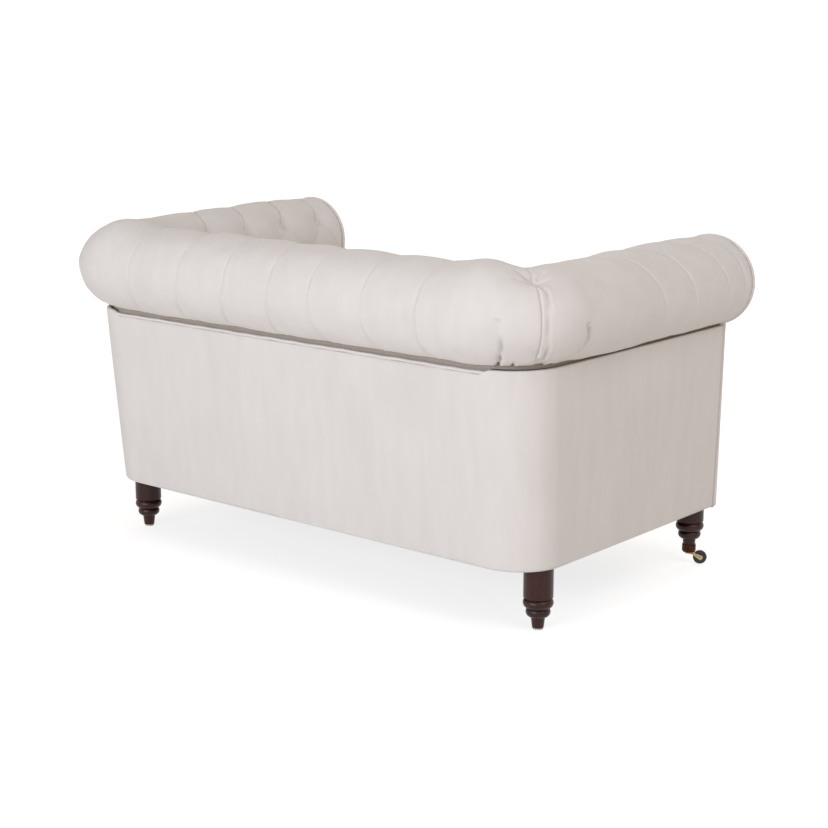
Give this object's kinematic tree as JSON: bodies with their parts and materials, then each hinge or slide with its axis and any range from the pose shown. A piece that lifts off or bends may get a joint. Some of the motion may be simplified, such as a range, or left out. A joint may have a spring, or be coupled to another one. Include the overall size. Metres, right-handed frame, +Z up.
{
  "type": "chesterfield sofa",
  "caption": "Chesterfield loveseat with rolled, buttoned arms and back at one height, loose seat cushions, turned legs and front castors.",
  "frame": {"origin": "on the floor, under the middle of the sofa's bounding box", "axes": "+X to the right seen from the front, the front faces -Y, +Z up"},
  "size_m": [1.476, 0.843, 0.78],
  "materials": {
    "cover_velvet": "short-pile velvet",
    "turned_wood": "dark stain, satin lacquer",
    "castor_brass": "polished",
    "wheel_plastic": "moulded",
    "glide_plastic": "moulded",
    "spring_steel": "oiled wire",
    "zinc_steel": "zinc plated",
    "webbing_weave": "jute weave",
    "deck_felt": "felted",
    "dust_cloth": "spun-bonded",
    "frame_timber": "sawn"
  },
  "bodies": {
    "frame": {"arm_buttons_left": "cover_velvet", "arm_buttons_right": "cover_velvet", "arm_facing_left": "cover_velvet", "arm_facing_right": "cover_velvet", "arm_pad_left": "cover_velvet", "arm_pad_right": "cover_velvet", "arm_stump_left": "frame_timber", "arm_stump_right": "frame_timber", "arm_tack_rail_left": "frame_timber", "arm_tack_rail_right": "frame_timber", "arm_top_board_left": "frame_timber", "arm_top_board_right": "frame_timber", "arm_webbing_left": "webbing_weave", "arm_webbing_right": "webbing_weave", "back_buttons": "cover_velvet", "back_centre_post": "frame_timber", "back_pad": "cover_velvet", "back_piping": "cover_velvet", "back_tack_rail": "frame_timber", "back_top_board": "frame_timber", "back_webbing": "webbing_weave", "castor_cup_left": "castor_brass", "castor_cup_right": "castor_brass", "castor_screws": "castor_brass", "dust_cover": "dust_cloth", "front_border": "cover_velvet", "front_corner_blocks": "frame_timber", "front_leg_left": "turned_wood", "front_leg_right": "turned_wood", "leg_bolts": "zinc_steel", "leg_plates": "zinc_steel", "outside_arm_left": "cover_velvet", "outside_arm_right": "cover_velvet", "outside_back": "cover_velvet", "plate_screws": "zinc_steel", "rear_corner_blocks": "frame_timber", "rear_glides": "glide_plastic", "rear_leg_left": "turned_wood", "rear_leg_right": "turned_wood", "rear_post_left": "frame_timber", "rear_post_right": "frame_timber", "roll_slat_back": "frame_timber", "roll_slat_left": "frame_timber", "roll_slat_right": "frame_timber", "seat_deck": "deck_felt", "seat_rail_back": "frame_timber", "seat_rail_front": "frame_timber", "seat_rail_left": "frame_timber", "seat_rail_right": "frame_timber", "seat_springs": "spring_steel", "seat_stretcher": "frame_timber", "spring_clips": "spring_steel"},
    "left_castor": {"castor_fork_left": "castor_brass", "castor_axle_left": "castor_brass"},
    "left_wheel": {"castor_wheel_left": "wheel_plastic"},
    "left_cushion": {"seat_cushion_left": "cover_velvet"},
    "right_castor": {"castor_fork_right": "castor_brass", "castor_axle_right": "castor_brass"},
    "right_wheel": {"castor_wheel_right": "wheel_plastic"},
    "right_cushion": {"seat_cushion_right": "cover_velvet"}
  },
  "joints": [
    {"name": "left_castor_swivel", "type": "hinge", "parent": "frame", "child": "left_castor", "pos_m": [-0.609, -0.3838, 0.03], "axis": [0, 0, 1], "continuous": true},
    {"name": "left_wheel_roll", "type": "hinge", "parent": "left_castor", "child": "left_wheel", "pos_m": [-0.6293, -0.40083, 0.016], "axis": [-0.6428, 0.766, 0], "continuous": true},
    {"name": "left_cushion_lift", "type": "slide", "parent": "frame", "child": "left_cushion", "axis": [0, 0, 1], "range_m": [0, 0.45]},
    {"name": "right_castor_swivel", "type": "hinge", "parent": "frame", "child": "right_castor", "pos_m": [0.609, -0.3838, 0.03], "axis": [0, 0, 1], "continuous": true},
    {"name": "right_wheel_roll", "type": "hinge", "parent": "right_castor", "child": "right_wheel", "pos_m": [0.6293, -0.40083, 0.016], "axis": [0.6428, 0.766, 0], "continuous": true},
    {"name": "right_cushion_lift", "type": "slide", "parent": "frame", "child": "right_cushion", "axis": [0, 0, 1], "range_m": [0, 0.45]}
  ]
}
